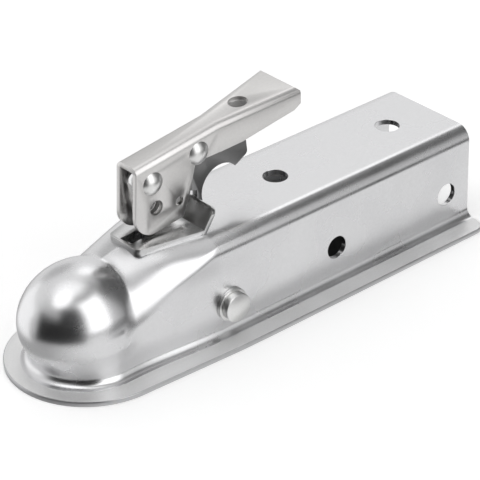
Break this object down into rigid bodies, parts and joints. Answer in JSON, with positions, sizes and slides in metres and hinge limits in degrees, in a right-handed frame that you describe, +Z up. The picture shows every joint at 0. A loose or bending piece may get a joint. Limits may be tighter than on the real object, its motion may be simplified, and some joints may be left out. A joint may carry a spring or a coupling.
{
  "type": "trailer coupling head",
  "caption": "Straight-tongue trailer coupler: pressed ball socket and channel, lever latch with trigger, and a clamp jaw under the ball.",
  "frame": {"origin": "centre of the tow ball in the closed socket", "axes": "+X along the channel to the trailer, +Z up, Y across"},
  "size_m": [0.3053, 0.1032, 0.1224],
  "materials": {
    "zinc_plate": "satin zinc plate",
    "bright_zinc": "bright zinc plate",
    "dark_steel": "dark phosphate",
    "plain_steel": "plain steel",
    "spring_steel": "spring steel"
  },
  "bodies": {
    "shell": {"body_shell": "zinc_plate", "saddle_plate": "zinc_plate", "cross_pin": "bright_zinc", "head_washer": "bright_zinc", "clip_washer": "bright_zinc", "near_bush": "plain_steel", "far_bush": "plain_steel", "cross_pin_clip": "dark_steel", "jaw_spring": "spring_steel"},
    "jaw": {"clamp_jaw": "plain_steel", "link_pin": "plain_steel", "link_pin_clip": "dark_steel"},
    "link": {"latch_link": "bright_zinc"},
    "handle": {"lever": "zinc_plate", "lever_pivot_rivet": "bright_zinc", "lever_spacer_near": "plain_steel", "lever_spacer_far": "plain_steel", "trigger_pivot_rivet": "bright_zinc", "trigger_pivot_spacer": "plain_steel", "trigger_spring": "spring_steel"},
    "trigger": {"trigger": "dark_steel"}
  },
  "joints": [
    {"name": "jaw_pivot", "type": "hinge", "parent": "shell", "child": "jaw", "pos_m": [0.0802, 0, -0.0084], "axis": [0, -1, 0], "range_deg": [0, 24], "deforming": ["jaw_spring"]},
    {"name": "link_pivot", "type": "hinge", "parent": "jaw", "child": "link", "pos_m": [0.0562, 0, -0.0021], "axis": [0, -1, 0], "range_deg": [-24, 0]},
    {"name": "lever_pivot", "type": "hinge", "parent": "link", "child": "handle", "pos_m": [0.0497, 0, 0.0679], "axis": [0, -1, 0], "range_deg": [0, 80]},
    {"name": "trigger_pivot", "type": "hinge", "parent": "handle", "child": "trigger", "pos_m": [0.0822, 0, 0.0745], "axis": [0, -1, 0], "range_deg": [-5, 10], "stiffness_Nm_per_rad": 0.4, "deforming": ["trigger_spring"]}
  ],
  "couplings": [
    {"joint": "jaw_pivot", "follows": "lever_pivot", "ratio": 0.3},
    {"joint": "link_pivot", "follows": "lever_pivot", "ratio": -0.3}
  ]
}
